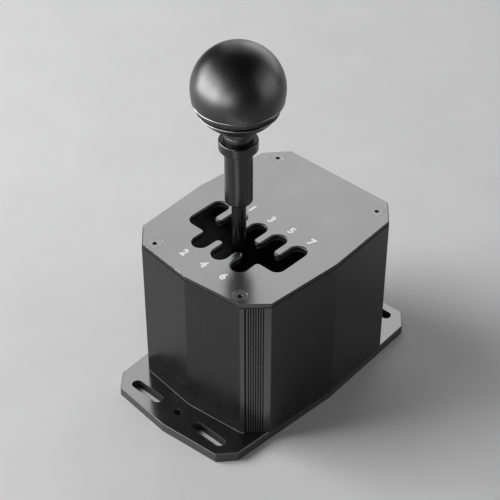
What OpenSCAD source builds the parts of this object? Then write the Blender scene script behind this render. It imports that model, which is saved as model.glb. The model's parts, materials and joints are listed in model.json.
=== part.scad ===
// Gear shifter for a racing simulator: a ball-topped lever in a gated metal plate.
// X points to the driver's right, Y away from the driver and Z up.
// The origin is the middle of the four mounting slots, on the underside of the base plate.

/* [Base plate] */
// Thickness of the base plate
base_t = 6; // [5:0.5:10]
// Width at the ends of the two long sides
base_side_w = 94.8; // [90:0.2:97]
// Width at the crease in the middle of the long sides
base_mid_w = 104; // [100:0.5:105]
// Length of the long sides between the corner cuts
base_side_l = 146; // [140:1:152]
// Width of the end edges between the corner cuts
base_end_w = 78; // [76:0.5:84]
// Distance between the two end edges
base_l = 165.4; // [164:0.2:180]
// How far the middle of the front edge stands out
base_bow = 3.7; // [2:0.1:6]
// Bevel on the upper edge of the base plate
base_bevel = 0.3; // [0.2:0.1:1]
// Width of the mounting slots, a free fit for an M6 bolt
slot_w = 6.4; // [5.5:0.1:6.6]
// Length of the mounting slots from end to end
slot_l = 23.4; // [18:0.2:26]
// Distance between the slot centres across the base
slot_dx = 50.4; // [46:0.2:52]
// Distance between the slot centres along the base
slot_dy = 148; // [146:0.5:150]
// Diameter of the round hole between each pair of slots
mid_hole_d = 5; // [4:0.1:6]

/* [Housing] */
// Height of the housing walls
body_h = 93.5; // [90:0.5:100]
// Width at the ends of the housing sides
body_side_w = 99; // [97:0.5:101]
// Width at the crease in the middle of the sides
body_mid_w = 106; // [104:0.5:110]
// Length of the sides between the corner cuts
body_side_l = 98; // [94:0.5:101]
// Width of the front and back faces between the corner cuts
body_end_w = 75; // [73:0.5:77]
// Distance from the origin to the ends of the front face
body_front_y = 61; // [60:0.5:63]
// Distance from the origin to the back face
body_back_y = 63; // [62:0.5:65]
// How far the middle of the front face stands out
body_bow = 4; // [2:0.1:5]
// Wall thickness of the extruded housing
wall = 3.2; // [2.8:0.1:3.6]
// Width of a decorative corner groove
groove_w = 0.65; // [0.5:0.05:0.9]
// Distance from one corner groove to the next
groove_pitch = 1.34; // [1.2:0.02:1.4]
// Depth of the corner grooves
groove_depth = 1; // [0.6:0.1:1.1]
// Number of grooves on each front corner, besides the seam
front_grooves = 7; // [4:1:7]
// Number of grooves on each back corner
back_grooves = 7; // [4:1:9]
// Distance of the front panel's seam from the front corner
seam_s = 2.4; // [2:0.1:3.2]
// Width of the seam between the front panel and the rear shell
seam_w = 1; // [0.6:0.1:1.2]
// Length of the lip that the front panel puts behind the seam
lap = 1.8; // [1.6:0.1:4]
// Width of the fin between the seam and the first groove
first_fin = 0.95; // [0.6:0.05:1.4]
// Outer diameter of the screw ports inside the walls
port_d = 8.4; // [7.6:0.1:9]
// Distance of a front screw inwards from the front corner
front_port_x = 4.9; // [4.4:0.1:6]
// Distance of a front screw back from the front corner
front_port_y = 5.4; // [5:0.1:6.4]
// Distance of a back screw from its corner cut
back_port_in = 7; // [6:0.1:7.1]

/* [Gate plate] */
// Thickness of the gate plate
plate_t = 2.5; // [2.5:0.1:4]
// Margin between the plate and the edge of the housing
plate_inset = 0.4; // [0:0.1:1]
// Bevel on the upper edge of the plate
plate_bevel = 0.3; // [0.2:0.1:1]
// Distance of the lever in front of the origin
gate_back = 22; // [20:0.5:24]
// Distance between two neighbouring gear lanes
lane_pitch = 15; // [14.6:0.1:15.4]
// Width of a gear lane
lane_w = 9.6; // [9.4:0.1:10.4]
// Travel of the lever from neutral to a gear, at the plate
throw = 15.2; // [14:0.1:16]
// Width of the neutral channel
neutral_w = 11.6; // [10.6:0.1:13]
// How far the middle of the neutral channel lies in front of the lever
neutral_back = 0.6; // [0:0.1:0.8]
// Thickness of the damping sheet under the plate
damper_t = 2; // [1:0.1:3]
// How far the damping sheet stays back from the gate's edge
damper_back = 0.8; // [0.6:0.1:1.2]
// Width of the damping sheet
damper_w = 84; // [78:1:88]
// Length of the damping sheet
damper_l = 54; // [50:1:60]

/* [Fasteners] */
// Thread diameter of the countersunk screws
screw_d = 4; // [3.6:0.1:4.2]
// Head diameter of the countersunk screws
head_d = 8.8; // [7.6:0.1:9]
// Thread length of the countersunk screws under the head
screw_l = 12; // [10:0.5:20]
// Width across the flats of their hexagon socket
socket_af = 2.5; // [2:0.1:3]
// Thread diameter of the small machine screws
small_d = 3; // [2.5:0.1:3.2]
// Head diameter of the small machine screws
small_head_d = 5.5; // [5:0.1:6]
// Head height of the small machine screws
small_head_h = 2; // [1.5:0.1:2.4]

/* [Pivot] */
// Height of the lever's pivot above the underside of the base
pivot_z = 24; // [23:0.5:28]
// Thickness of the pivot bracket
bracket_t = 4; // [3:0.5:4.5]
// Clear width between the bracket's two cheeks
bracket_gap = 54; // [50:0.5:55]
// Width of a bracket cheek, and the diameter of its rounded top
bracket_w = 26; // [22:0.5:28]
// Outer diameter of the ball bearings
bearing_d = 12; // [11:0.5:14]
// Diameter of the shift axles, and of the bearings' bore
axle_d = 6; // [5:0.5:7]
// Width of the yoke
yoke_w = 44; // [42:0.5:46]
// Width of the yoke's window
window_w = 33; // [31:0.5:34]
// Height of the yoke
yoke_h = 14; // [12:0.5:14]
// Thickness of the yoke's front and back walls
yoke_wall = 4; // [3.5:0.1:5]
// Diameter of the yoke's round bosses
boss_d = 10; // [9:0.2:11]
// Diameter of the select shaft
shaft_d = 5; // [4:0.1:6]
// Wall thickness of the plain bushes
bush_t = 1.5; // [1:0.1:2]
// Thickness of the bushes' flange
bush_flange_t = 1; // [0.6:0.1:1.5]
// Thickness of the retaining clips
clip_t = 0.8; // [0.6:0.1:1]

/* [Detent] */
// Radius of the detent cam
cam_r = 26; // [25:0.5:27]
// Thickness of the detent cam
cam_t = 4; // [3:0.5:5]
// Diameter of the cam's hub
cam_hub_d = 16; // [13:0.5:18]
// Radius of the cam's notches
notch_r = 2; // [1.6:0.1:2.2]
// Depth of the cam's notches
notch_depth = 1.3; // [1:0.1:1.5]
// Thickness of the detent spring's strip
leaf_t = 0.8; // [0.6:0.1:1]
// Width of the detent spring's strip
leaf_w = 7; // [6:0.5:8]
// Length of the detent spring's foot
leaf_foot = 16; // [15:0.5:18]
// Height of the strip above the notch
leaf_over = 12; // [8:0.5:16]

/* [Centring spring] */
// Wire diameter of the centring spring
wire_d = 1; // [0.8:0.1:1.2]
// Diameter of the coil, measured at the middle of the wire
coil_d = 10; // [9:0.2:10.6]
// Number of turns besides the half turn between the legs
coil_turns = 3; // [2:1:4]
// Clear gap between neighbouring turns
coil_gap = 0.5; // [0.45:0.05:0.7]

/* [Lever] */
// Width of the lever's hub
hub_w = 16; // [14:0.5:18]
// Length of the lever's hub along the select shaft
hub_l = 18; // [16:0.5:20]
// Depth of the hub below the pivot
hub_low = 8; // [6:0.5:8]
// Height of the hub's block above the pivot
hub_high = 13; // [13:0.5:15]
// Diameter of the hub's round neck
hub_neck_d = 14; // [12:0.5:14]
// Height of the hub's round neck
hub_neck_h = 7; // [5:0.5:10]
// Diameter of the lever rod
rod_d = 8; // [7:0.1:8.1]
// Height of the rod's lock nut
nut_h = 6.5; // [5:0.1:7]
// Width across the flats of the rod's lock nut
nut_af = 13; // [11:0.5:14]
// Height of the sleeve's lower end above the gate plate
sleeve_up = 28; // [20:0.5:30]
// Diameter of the sleeve
sleeve_d = 15.5; // [14:0.1:17]
// Length of the sleeve
sleeve_l = 33; // [28:0.5:40]
// Length of the taper at the sleeve's lower end
sleeve_taper = 1.2; // [0.4:0.1:5]
// Diameter of the sleeve's lower end
sleeve_end_d = 13.1; // [8.8:0.1:13.8]
// Diameter of the lock collar's flange
collar_d = 21.6; // [20:0.1:24]
// Height of the collar's taper
collar_taper = 2; // [1:0.1:8]
// Height of the collar's flange
collar_h = 6; // [4:0.1:8]
// Rounding of the flange's upper edge
collar_round = 1; // [0.4:0.1:1.4]

/* [Knob] */
// Diameter of the ball
knob_d = 50; // [46:0.5:54]
// Diameter of the neck under the ball
neck_d = 16.2; // [16:0.1:18]
// Height of the neck between the collar and the ball
neck_l = 7.3; // [4:0.1:9]
// Distance of the upper trim line below the middle of the ball
trim_high = 7; // [5:0.1:8]
// Distance of the lower trim line below the middle of the ball
trim_low = 12.1; // [10:0.1:14]
// Radius of the bead that each trim line has
bead_r = 0.5; // [0.3:0.05:0.8]
// How far the band between the trim lines is set back
band_back = 0.6; // [0.2:0.1:1]
// Wall thickness of the ball's upper shell
knob_wall = 3.5; // [2.5:0.1:5]
// Diameter of the knob's threaded insert
insert_d = 13; // [11.5:0.1:14]
// Depth of the neck's ring groove
neck_groove = 0.2; // [0.1:0.1:0.8]

/* [Electronics] */
// Thickness of the circuit boards
board_t = 1.6; // [1.2:0.1:2]
// Width of the main board
board_w = 60; // [54:0.5:62]
// Length of the main board
board_l = 34; // [32:0.5:35]
// Height of the main board's posts
board_up = 6; // [5:0.5:10]
// Diameter of the main board's posts
post_d = 6; // [5:0.1:7]
// Distance of the posts from the board's edges
post_in = 4; // [3.6:0.1:5]
// Size of the processor on the main board
chip_w = 9; // [7:0.5:12]
// Thickness of the disc magnets
magnet_t = 2.4; // [1.5:0.1:3]
// Air gap between a magnet and its sensor
sense_gap = 1.5; // [1:0.1:2.5]
// Height of the two sensor boards
sense_h = 12; // [10:0.5:12]
// Width of the two sensor boards
sense_w = 25; // [24:0.5:26]
// Diameter of the sensor boards' spacer posts
spacer_d = 4; // [3.6:0.1:5]
// Width of a lead socket
lead_w = 10; // [8:0.5:12]
// Depth of a lead socket
lead_l = 5.6; // [5:0.1:6.4]
// Height of a lead socket
lead_h = 6; // [5:0.5:7]
// Width of the USB-C socket's shell
usb_w = 8.94; // [8.94:0.01:9.2]
// Height of the USB-C socket's shell
usb_h = 3.26; // [3.2:0.01:3.4]
// Depth of the USB-C socket's shell
usb_l = 7.35; // [7:0.05:9]

/* [Clearances] */
// Radial clearance of a turning shaft
run_fit = 0.03; // [0.02:0.01:0.08]
// Radial clearance of a fixed fit
seat_fit = 0.02; // [0.01:0.01:0.05]
// Clearance between loose faces
face_gap = 0.1; // [0.05:0.05:0.3]
// Clearance around the detent spring's crest
crest_gap = 0.25; // [0.1:0.05:0.4]
// Clearance between the centring spring and its neighbours
spring_gap = 0.3; // [0.2:0.05:0.5]
// Radial clearance of a screw in a through hole
hole_gap = 0.2; // [0.1:0.05:0.4]

/* [Hidden] */
$fn = 64;

// Cutters run this far past the faces that they cut
past = 1;
// Neighbouring bevels differ by this much, so that no four faces meet in one point
bevel_step = 0.04;
dark = [0.07, 0.07, 0.08];
housing_black = [0.15, 0.15, 0.16];
blackened = [0.3, 0.3, 0.32];
cast = [0.5, 0.51, 0.53];
sprung = [0.55, 0.57, 0.6];
steel = [0.62, 0.63, 0.65];
bright = [0.75, 0.76, 0.78];
brass = [0.71, 0.58, 0.3];
board_green = [0.05, 0.25, 0.12];
ivory = [0.85, 0.84, 0.8];

// Depth that a thread cuts into its core hole, for both kinds of screw
screw_bite = 0.35;
small_bite = 0.25;
// Depths of the screws' hexagon sockets
socket_depth = 1.7;
small_socket = 1.2;
// Metal left under a blind hole, and the room below the end of its screw
blind_floor = 1.2;
blind_play = 0.6;
// Thread length of the board screws in their posts
board_bite = 3.6;
// Radial width and groove depth of the retaining clips, and the share of the ring that stays open
clip_w = 2;
clip_groove = 0.5;
clip_mouth = 0.7;
// Shafts run this far past their clips
shaft_over = 1;

// Heights
body_top = base_t + body_h;
plate_top = body_top + plate_t;
gate_y = -gate_back;
pivot = [0, gate_y, pivot_z];
arm = plate_top - plate_t / 2 - pivot_z;
throw_deg = atan(throw / arm);

// Outlines of the base plate and the housing
function faceted_outline(side_w, mid_w, side_l, end_w, front_y, back_y, bow) = [
  [-end_w / 2, -front_y], [0, -front_y - bow], [end_w / 2, -front_y],
  [side_w / 2, -side_l / 2], [mid_w / 2, 0], [side_w / 2, side_l / 2],
  [end_w / 2, back_y], [-end_w / 2, back_y],
  [-side_w / 2, side_l / 2], [-mid_w / 2, 0], [-side_w / 2, -side_l / 2]
];
base_outline = faceted_outline(
  base_side_w, base_mid_w, base_side_l, base_end_w, base_l / 2, base_l / 2, base_bow);
body_outline = faceted_outline(
  body_side_w, body_mid_w, body_side_l, body_end_w, body_front_y, body_back_y, body_bow);
front_corner = body_outline[2];
front_side = body_outline[3];
back_side = body_outline[5];
back_corner = body_outline[6];

// The unit vector that points left of the way from a to b, which is inwards on these outlines
function left_normal(a, b) = [a.y - b.y, b.x - a.x] / norm(b - a);
// A convex outline with every edge moved inwards by d
function inset(p, d) = [
  for (i = [0 : len(p) - 1])
    let (
      before = left_normal(p[(i + len(p) - 1) % len(p)], p[i]),
      after = left_normal(p[i], p[(i + 1) % len(p)])
    )
    p[i] + d * (before + after) / (1 + before * after)
];

// Screw ports of the housing
port_core_r = screw_d / 2 - screw_bite;
front_port = [front_corner.x - front_port_x, front_corner.y + front_port_y];
back_port = (back_side + back_corner) / 2 + back_port_in * left_normal(back_side, back_corner);
ports = [
  front_port, [-front_port.x, front_port.y],
  back_port, [-back_port.x, back_port.y]
];

// Pivot, along X
cheek_x = bracket_gap / 2;
cheek_out = cheek_x + bracket_t;
bracket_screw_in = 8.1;
bracket_screw_x = cheek_x - bracket_screw_in;
bracket_screw_y = bracket_w / 2 - head_d / 2;
axle_r = axle_d / 2 - run_fit;
axle_in = window_w / 2 + face_gap;
spacer_l = 2;
spacer_wall = 1.5;
cam_x = cheek_out + spacer_l;
axle_clip_x = cam_x + cam_t + face_gap;
axle_right_end = axle_clip_x + clip_t + shaft_over;
axle_out = 2.5;
axle_left_end = cheek_out + axle_out;

// Pivot, along Y, measured from the pivot
coil_pitch = wire_d + coil_gap;
coil_half = 0.5;
coil_l = (coil_turns + coil_half) * coil_pitch + wire_d;
hub_play = 0.5;
window_front = -hub_l / 2 - hub_play;
window_rear = hub_l / 2 + coil_l + 2 * spring_gap;
yoke_front = window_front - yoke_wall;
yoke_rear = window_rear + yoke_wall;
shaft_r = shaft_d / 2 - run_fit;
shaft_clip_y = yoke_front - bush_flange_t - face_gap - clip_t;
shaft_front = shaft_clip_y - shaft_over;
magnet_play = 0.5;
shaft_rear = yoke_rear + bush_flange_t + magnet_play;
select_board_y = shaft_rear + magnet_t + sense_gap;
shift_board_x = -(axle_left_end + magnet_t + sense_gap);

// Centring spring and the two tabs that its legs straddle
tab_half = coil_d / 2 - wire_d / 2 - spring_gap;
tab_h = 3;
tab_down = 0.5;
hub_tab_z = hub_high - tab_h - tab_down;
hub_tab_reach = norm([tab_half, hub_tab_z + tab_h]);
tab_gap = 0.4;
yoke_tab_z = hub_tab_reach + tab_gap;
yoke_tab_top = yoke_tab_z + tab_h;
coil_y = hub_l / 2 + spring_gap + wire_d / 2;
leg_top = yoke_tab_top + wire_d;

shift_post_down = 4.5;

// Detent
notch_at = cam_r + notch_r - notch_depth;
crest_r = notch_r - crest_gap;
leaf_off = 0.9;
leaf_y = cam_r + leaf_off;
leaf_x = cam_x + cam_t / 2;
clamp_t = 2;
clamp_side = 1;
leaf_bend = 2;
clamp_y = leaf_y + leaf_t + leaf_bend;
clamp_end = leaf_y + leaf_foot;
head_margin = 0.4;
clamp_screw_in = small_head_d / 2 + head_margin;

// Lever, measured upwards from the underside of the base
neck_top = pivot_z + hub_high + hub_neck_h;
sleeve_z = plate_top + sleeve_up;
collar_z = sleeve_z + sleeve_l;
collar_top = collar_z + collar_taper + collar_h;
knob_r = knob_d / 2;
// Steps per millimetre that the ball's rise over its neck is rounded to, so that meeting faces stay level
rise_steps = 100;
neck_rise = floor(rise_steps * sqrt(knob_r * knob_r - neck_d * neck_d / 4)) / rise_steps;
knob_z = collar_top + neck_l + neck_rise;
high_line = knob_z - trim_high;
low_line = knob_z - trim_low;
bead_off = 0.8 * bead_r;
neck_ring = 1;
insert_down = 4;
insert_top = knob_z - insert_down;
rod_down = 2;
rod_top = insert_top - rod_down;
rod_up = 3;
rod_bottom = pivot_z + shaft_d / 2 + rod_up;
rod_bore_r = rod_d / 2 + seat_fit;
insert_bore_r = insert_d / 2 + seat_fit;
core_r = knob_r - knob_wall;
stem_wall = 6;
core_stem_r = insert_d / 2 + stem_wall;

// Main board and USB socket
board_gap = 1.3;
board_rear = body_back_y - wall - board_gap;
board_z = base_t + board_up;
board_top = board_z + board_t;
post_core_r = small_d / 2 - small_bite;
post_places = [
  for (x = [-1, 1], y = [post_in, board_l - post_in])
    [x * (board_w / 2 - post_in), board_rear - y]
];
usb_in = 0.6;
usb_mouth = body_back_y - usb_in;
usb_z = board_top + usb_h / 2;
usb_shell = 0.3;
usb_gap = 0.5;

// Draws a profile of Y and Z, pulled along X
module along_x(from, to)
  translate([from, 0, 0]) rotate([90, 0, 90]) linear_extrude(to - from) children();

// Draws a profile of X and Z, pulled along Y
module along_y(from, to)
  translate([0, to, 0]) rotate([90, 0, 0]) linear_extrude(to - from) children();

// Draws its children on both sides of the middle
module both_sides() {
  children();
  mirror([1, 0, 0]) children();
}

// A frame at a that runs towards b, with Y pointing inwards
module edge_frame(a, b)
  translate([a.x, a.y]) rotate(atan2(b.y - a.y, b.x - a.x)) children();

// A flat plate with a bevelled upper edge
module bevelled_plate(outline, t, bevel) {
  difference() {
    linear_extrude(t) polygon(outline);
    for (i = [0 : len(outline) - 1])
      bevel_cut(outline[i], outline[(i + 1) % len(outline)], t, bevel + bevel_step * (i % 3));
  }
}

// The wedge that takes the bevel off one straight edge
module bevel_cut(a, b, top, bevel) {
  translate([b.x, b.y, top])
    rotate([90, 0, atan2(b.y - a.y, b.x - a.x) - 90])
      translate([0, 0, -past])
        linear_extrude(norm(b - a) + 2 * past)
          polygon([[-bevel - past, past], [past, -bevel - past], [past, past]]);
}

// A slot with round ends, between two centres along X
module slot_x(from, to, r) {
  translate([from, 0]) circle(r);
  translate([to, 0]) circle(r);
  translate([from, -r]) square([to - from, 2 * r]);
}

// A countersunk screw that hangs down from its head at the origin
module countersunk_screw(l) {
  cone_h = (head_d - screw_d) / 2;
  difference() {
    union() {
      translate([0, 0, -cone_h]) cylinder(cone_h, screw_d / 2, head_d / 2);
      translate([0, 0, -l]) cylinder(l, r = port_core_r - face_gap / 2);
    }
    translate([0, 0, -socket_depth]) cylinder(socket_depth + past, d = socket_af / cos(30), $fn = 6);
  }
}

// The hole for such a screw, cut down from the origin
module countersunk_hole(t) {
  sink_r = head_d / 2 + face_gap;
  hole_r = screw_d / 2 + hole_gap;
  rotate_extrude()
    polygon([
      [0, -t - past], [hole_r, -t - past], [hole_r, hole_r - sink_r], [sink_r + past, past], [0, past]
    ]);
}

// A small cylinder-head screw that hangs down from the underside of its head
module small_screw(l) {
  difference() {
    union() {
      cylinder(small_head_h, d = small_head_d);
      translate([0, 0, -l]) cylinder(l + small_head_h / 2, r = post_core_r - face_gap / 2);
    }
    translate([0, 0, small_head_h - small_socket])
      cylinder(small_socket + past, d = socket_af / cos(30), $fn = 6);
  }
}

// An open retaining ring in the XY plane that sits in a groove
module clip_ring(groove_r, outer_r) {
  linear_extrude(clip_t)
    difference() {
      circle(outer_r);
      circle(groove_r + seat_fit);
      translate([-groove_r * clip_mouth, 0]) square([2 * groove_r * clip_mouth, outer_r + past]);
    }
}

// The groove for a retaining ring
module clip_cut(r) {
  linear_extrude(clip_t + face_gap / 2)
    difference() {
      circle(r + past);
      circle(r - clip_groove);
    }
}

module base_plate() {
  color(steel)
    difference() {
      bevelled_plate(base_outline, base_t, base_bevel);
      translate([0, 0, -past])
        linear_extrude(base_t + 2 * past)
          for (x = [-1, 1], y = [-1, 1])
            translate([x * slot_dx / 2, y * slot_dy / 2])
              slot_x(-(slot_l - slot_w) / 2, (slot_l - slot_w) / 2, slot_w / 2);
      for (y = [-1, 1])
        translate([0, y * slot_dy / 2, -past]) cylinder(base_t + 2 * past, d = mid_hole_d);
      for (p = ports)
        translate([p.x, p.y, 0]) rotate([180, 0, 0]) countersunk_hole(base_t);
      bracket_screw_places() rotate([180, 0, 0]) countersunk_hole(base_t);
      detent_screw_places()
        translate([0, 0, blind_floor]) cylinder(base_t, r = post_core_r);
    }
}

// Everything in front of a cut across both front corners, s along them from the front
module front_zone(s) {
  along = (front_side - front_corner) / norm(front_side - front_corner);
  inwards = left_normal(front_corner, front_side);
  outer = front_corner + s * along - past * inwards;
  inner = front_corner + s * along + (wall + past) * inwards;
  front = front_corner.y - body_bow - past;
  polygon([
    outer, [outer.x, front], [-outer.x, front], [-outer.x, outer.y], [-inner.x, inner.y], inner
  ]);
}

// Grooves along a corner cut, from the distance first
module corner_grooves(a, b, first, count) {
  edge_frame(a, b)
    for (i = [0 : count - 1])
      translate([first + i * groove_pitch, -past]) square([groove_w, groove_depth + past]);
}

module wall_ring() {
  difference() {
    polygon(body_outline);
    polygon(inset(body_outline, wall));
  }
}

module port(p) {
  translate(p) circle(d = port_d);
}

module port_hole(p) {
  translate(p) circle(port_core_r);
}

module rear_shell() {
  back_cut = norm(back_corner - back_side);
  back_first = (back_cut - (back_grooves - 1) * groove_pitch - groove_w) / 2;
  color(housing_black)
    translate([0, 0, base_t])
      difference() {
        linear_extrude(body_h)
          difference() {
            union() {
              difference() {
                wall_ring();
                front_zone(seam_s + seam_w);
                intersection() {
                  polygon(inset(body_outline, wall / 2));
                  front_zone(seam_s + lap + face_gap);
                }
                both_sides() {
                  corner_grooves(front_corner, front_side, seam_s + seam_w + first_fin, front_grooves);
                  corner_grooves(back_side, back_corner, back_first, back_grooves);
                }
              }
              both_sides() port(back_port);
            }
            both_sides() port_hole(back_port);
          }
        translate([0, 0, usb_z - base_t])
          along_y(body_back_y - wall - past, body_back_y + past)
            slot_x((usb_h - usb_w) / 2, (usb_w - usb_h) / 2, usb_h / 2 + usb_gap);
      }
}

module front_panel() {
  color(housing_black)
    translate([0, 0, base_t])
      linear_extrude(body_h)
        difference() {
          union() {
            intersection() {
              wall_ring();
              front_zone(seam_s);
            }
            intersection() {
              difference() {
                polygon(inset(body_outline, wall / 2 + face_gap));
                polygon(inset(body_outline, wall));
              }
              front_zone(seam_s + lap);
            }
            both_sides() port(front_port);
          }
          both_sides() port_hole(front_port);
        }
}

// The gate's lanes and neutral channel, with every edge moved outwards by grow
module gate_opening(grow) {
  r = lane_w / 2 + grow;
  tip = lane_pitch / 2 - r;
  far = neutral_w / 2 - neutral_back + grow;
  near = -neutral_w / 2 - neutral_back - grow;
  translate([0, gate_y]) {
    for (i = [-1 : 1])
      translate([i * lane_pitch, 0]) rotate(90) slot_x(-throw, throw, r);
    for (i = [-2, 2])
      translate([i * lane_pitch, 0]) rotate(90) slot_x(near + r, throw, r);
    difference() {
      translate([-2 * lane_pitch, near - tip]) square([4 * lane_pitch, far - near + 2 * tip]);
      for (i = [-1.5 : 1.5]) {
        translate([i * lane_pitch, far + tip]) circle(tip);
        translate([i * lane_pitch, near - tip]) circle(tip);
      }
      both_sides()
        translate([1.5 * lane_pitch, near - tip - past]) square([lane_pitch, tip + past]);
    }
  }
}

module gate_plate() {
  color(steel)
    difference() {
      translate([0, 0, body_top])
        bevelled_plate(inset(body_outline, plate_inset), plate_t, plate_bevel);
      translate([0, 0, body_top - past]) linear_extrude(plate_t + 2 * past) gate_opening(0);
      for (p = ports)
        translate([p.x, p.y, plate_top]) countersunk_hole(plate_t);
    }
}

module gate_damper() {
  color(dark)
    translate([0, 0, body_top - damper_t])
      linear_extrude(damper_t)
        difference() {
          translate([-damper_w / 2, gate_y - damper_l / 2]) square([damper_w, damper_l]);
          gate_opening(damper_back);
        }
}

module gate_screws() {
  color(steel)
    for (p = ports)
      translate([p.x, p.y, plate_top]) countersunk_screw(screw_l);
}

module base_screws() {
  color(steel)
    for (p = ports)
      translate([p.x, p.y, 0]) rotate([180, 0, 0]) countersunk_screw(base_t + screw_l - plate_t);
}

// Places of the screws that hold the pivot bracket, on the underside of the base
module bracket_screw_places() {
  for (x = [-1, 1], y = [-1, 1])
    translate([x * bracket_screw_x, gate_y + y * bracket_screw_y, 0]) children();
}

module bracket_screws() {
  color(steel)
    bracket_screw_places() rotate([180, 0, 0]) countersunk_screw(base_t + bracket_t);
}

module cheek() {
  translate([-bracket_w / 2, base_t - pivot_z]) square([bracket_w, pivot_z - base_t]);
  circle(d = bracket_w);
}

module pivot_bracket() {
  color(cast)
    difference() {
      union() {
        translate([-cheek_out, gate_y - bracket_w / 2, base_t])
          cube([2 * cheek_out, bracket_w, bracket_t]);
        both_sides() translate(pivot) along_x(cheek_x, cheek_out) cheek();
      }
      both_sides()
        translate(pivot)
          along_x(cheek_x - past, cheek_out + past) circle(bearing_d / 2 + seat_fit);
      bracket_screw_places()
        translate([0, 0, base_t - past]) cylinder(bracket_t + 2 * past, r = port_core_r);
      shift_post_places()
        along_x(-cheek_out - past, -cheek_x + past) circle(post_core_r);
    }
}

// A shielded ball bearing on the X axis, from its inner face outwards
module bearing() {
  shield_r = (bearing_d + axle_d) / 4;
  shield_w = 1.2;
  shield_in = 0.3;
  color(bright)
    difference() {
      along_x(0, bracket_t)
        difference() {
          circle(bearing_d / 2);
          circle(axle_d / 2);
        }
      for (x = [-past, bracket_t - shield_in])
        along_x(x, x + past + shield_in)
          difference() {
            circle(shield_r + shield_w / 2);
            circle(shield_r - shield_w / 2);
          }
    }
}

module bearing_left() {
  translate(pivot) mirror([1, 0, 0]) translate([cheek_x, 0, 0]) bearing();
}

module bearing_right() {
  translate(pivot) translate([cheek_x, 0, 0]) bearing();
}

// A strip with an L foot and a round crest pressed into it, as a profile of Y and Z
module leaf_profile() {
  foot_z = base_t - pivot_z;
  difference() {
    union() {
      translate([leaf_y, foot_z]) square([leaf_t, leaf_over - foot_z]);
      translate([leaf_y, foot_z]) square([leaf_foot, leaf_t]);
      intersection() {
        translate([notch_at, 0]) circle(crest_r);
        translate([notch_at - crest_r, -crest_r])
          square([leaf_y + leaf_t - notch_at + crest_r, 2 * crest_r]);
      }
    }
    translate([notch_at, 0]) circle(crest_r - leaf_t);
    translate([notch_at, leaf_t - crest_r]) square([crest_r, 2 * (crest_r - leaf_t)]);
  }
}

module detent_screw_places() {
  for (y = [clamp_y + clamp_screw_in, clamp_end - clamp_screw_in])
    translate([leaf_x, gate_y + y, 0]) children();
}

module detent_spring() {
  color(sprung)
    difference() {
      translate(pivot) along_x(leaf_x - leaf_w / 2, leaf_x + leaf_w / 2) leaf_profile();
      detent_screw_places()
        translate([0, 0, base_t - past]) cylinder(leaf_t + 2 * past, d = small_d + hole_gap);
    }
}

module detent_clamp() {
  color(cast)
    difference() {
      translate([leaf_x - leaf_w / 2 - clamp_side, gate_y + clamp_y, base_t + leaf_t])
        cube([leaf_w + 2 * clamp_side, clamp_end - clamp_y, clamp_t]);
      detent_screw_places()
        translate([0, 0, base_t]) cylinder(leaf_t + clamp_t + past, d = small_d + hole_gap);
    }
}

module detent_screws() {
  color(steel)
    detent_screw_places()
      translate([0, 0, base_t + leaf_t + clamp_t])
        small_screw(leaf_t + clamp_t + base_t - blind_floor - blind_play);
}

// Places of the shift sensor's two posts, in the pivot's frame
module shift_post_places() {
  for (y = [-1, 1])
    translate(pivot + [0, y * (bracket_w / 2 - spacer_d), -shift_post_down])
      children();
}

module shift_sensor_posts() {
  color(brass)
    shift_post_places()
      along_x(shift_board_x, -cheek_out)
        difference() {
          circle(d = spacer_d);
          circle(post_core_r);
        }
}

module shift_sensor_board() {
  color(board_green)
    difference() {
      translate(pivot + [shift_board_x - board_t, -sense_w / 2, -sense_h / 2 - spacer_d])
        cube([board_t, sense_w, sense_h + spacer_d]);
      shift_post_places()
        along_x(shift_board_x - board_t - past, shift_board_x + past) circle(d = small_d + hole_gap);
    }
}

module shift_sensor_screws() {
  color(steel)
    shift_post_places()
      translate([shift_board_x - board_t, 0, 0])
        rotate([0, -90, 0]) small_screw(board_t - shift_board_x - cheek_out - face_gap + bracket_t);
}

module main_board() {
  color(board_green)
    translate([0, 0, board_z])
      difference() {
        translate([-board_w / 2, board_rear - board_l, 0]) cube([board_w, board_l, board_t]);
        for (p = post_places)
          translate([p.x, p.y, -past]) cylinder(board_t + 2 * past, d = small_d + hole_gap);
      }
}

module board_posts() {
  color(brass)
    for (p = post_places)
      translate([p.x, p.y, base_t])
        difference() {
          cylinder(board_up, d = post_d);
          translate([0, 0, blind_floor]) cylinder(board_up, r = post_core_r);
        }
}

module board_screws() {
  color(steel)
    for (p = post_places)
      translate([p.x, p.y, board_top]) small_screw(board_t + board_bite);
}

module main_chip() {
  chip_t = 1.2;
  color(dark)
    translate([-chip_w / 2, board_rear - board_l / 2 - chip_w / 2, board_top])
      cube([chip_w, chip_w, chip_t]);
}

// Two plug-in sockets for the sensors' leads
module lead_sockets() {
  shell = 0.8;
  edge = 1;
  color(ivory)
    for (x = [-1, 1])
      translate([x * board_w / 4 - lead_w / 2, board_rear - board_l + edge, board_top])
        difference() {
          cube([lead_w, lead_l, lead_h]);
          translate([shell, shell, shell]) cube([lead_w - 2 * shell, lead_l - 2 * shell, lead_h]);
        }
}

module usb_socket() {
  half = (usb_w - usb_h) / 2;
  back = 1;
  tongue_w = 6.7;
  tongue_t = 0.7;
  tongue_in = 1;
  color(bright)
    translate([0, 0, usb_z]) {
      difference() {
        along_y(usb_mouth - usb_l, usb_mouth) slot_x(-half, half, usb_h / 2);
        along_y(usb_mouth - usb_l + back, usb_mouth + past)
          slot_x(-half, half, usb_h / 2 - usb_shell);
      }
      along_y(usb_mouth - usb_l + back / 2, usb_mouth - tongue_in)
        square([tongue_w, tongue_t], center = true);
    }
}

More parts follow.
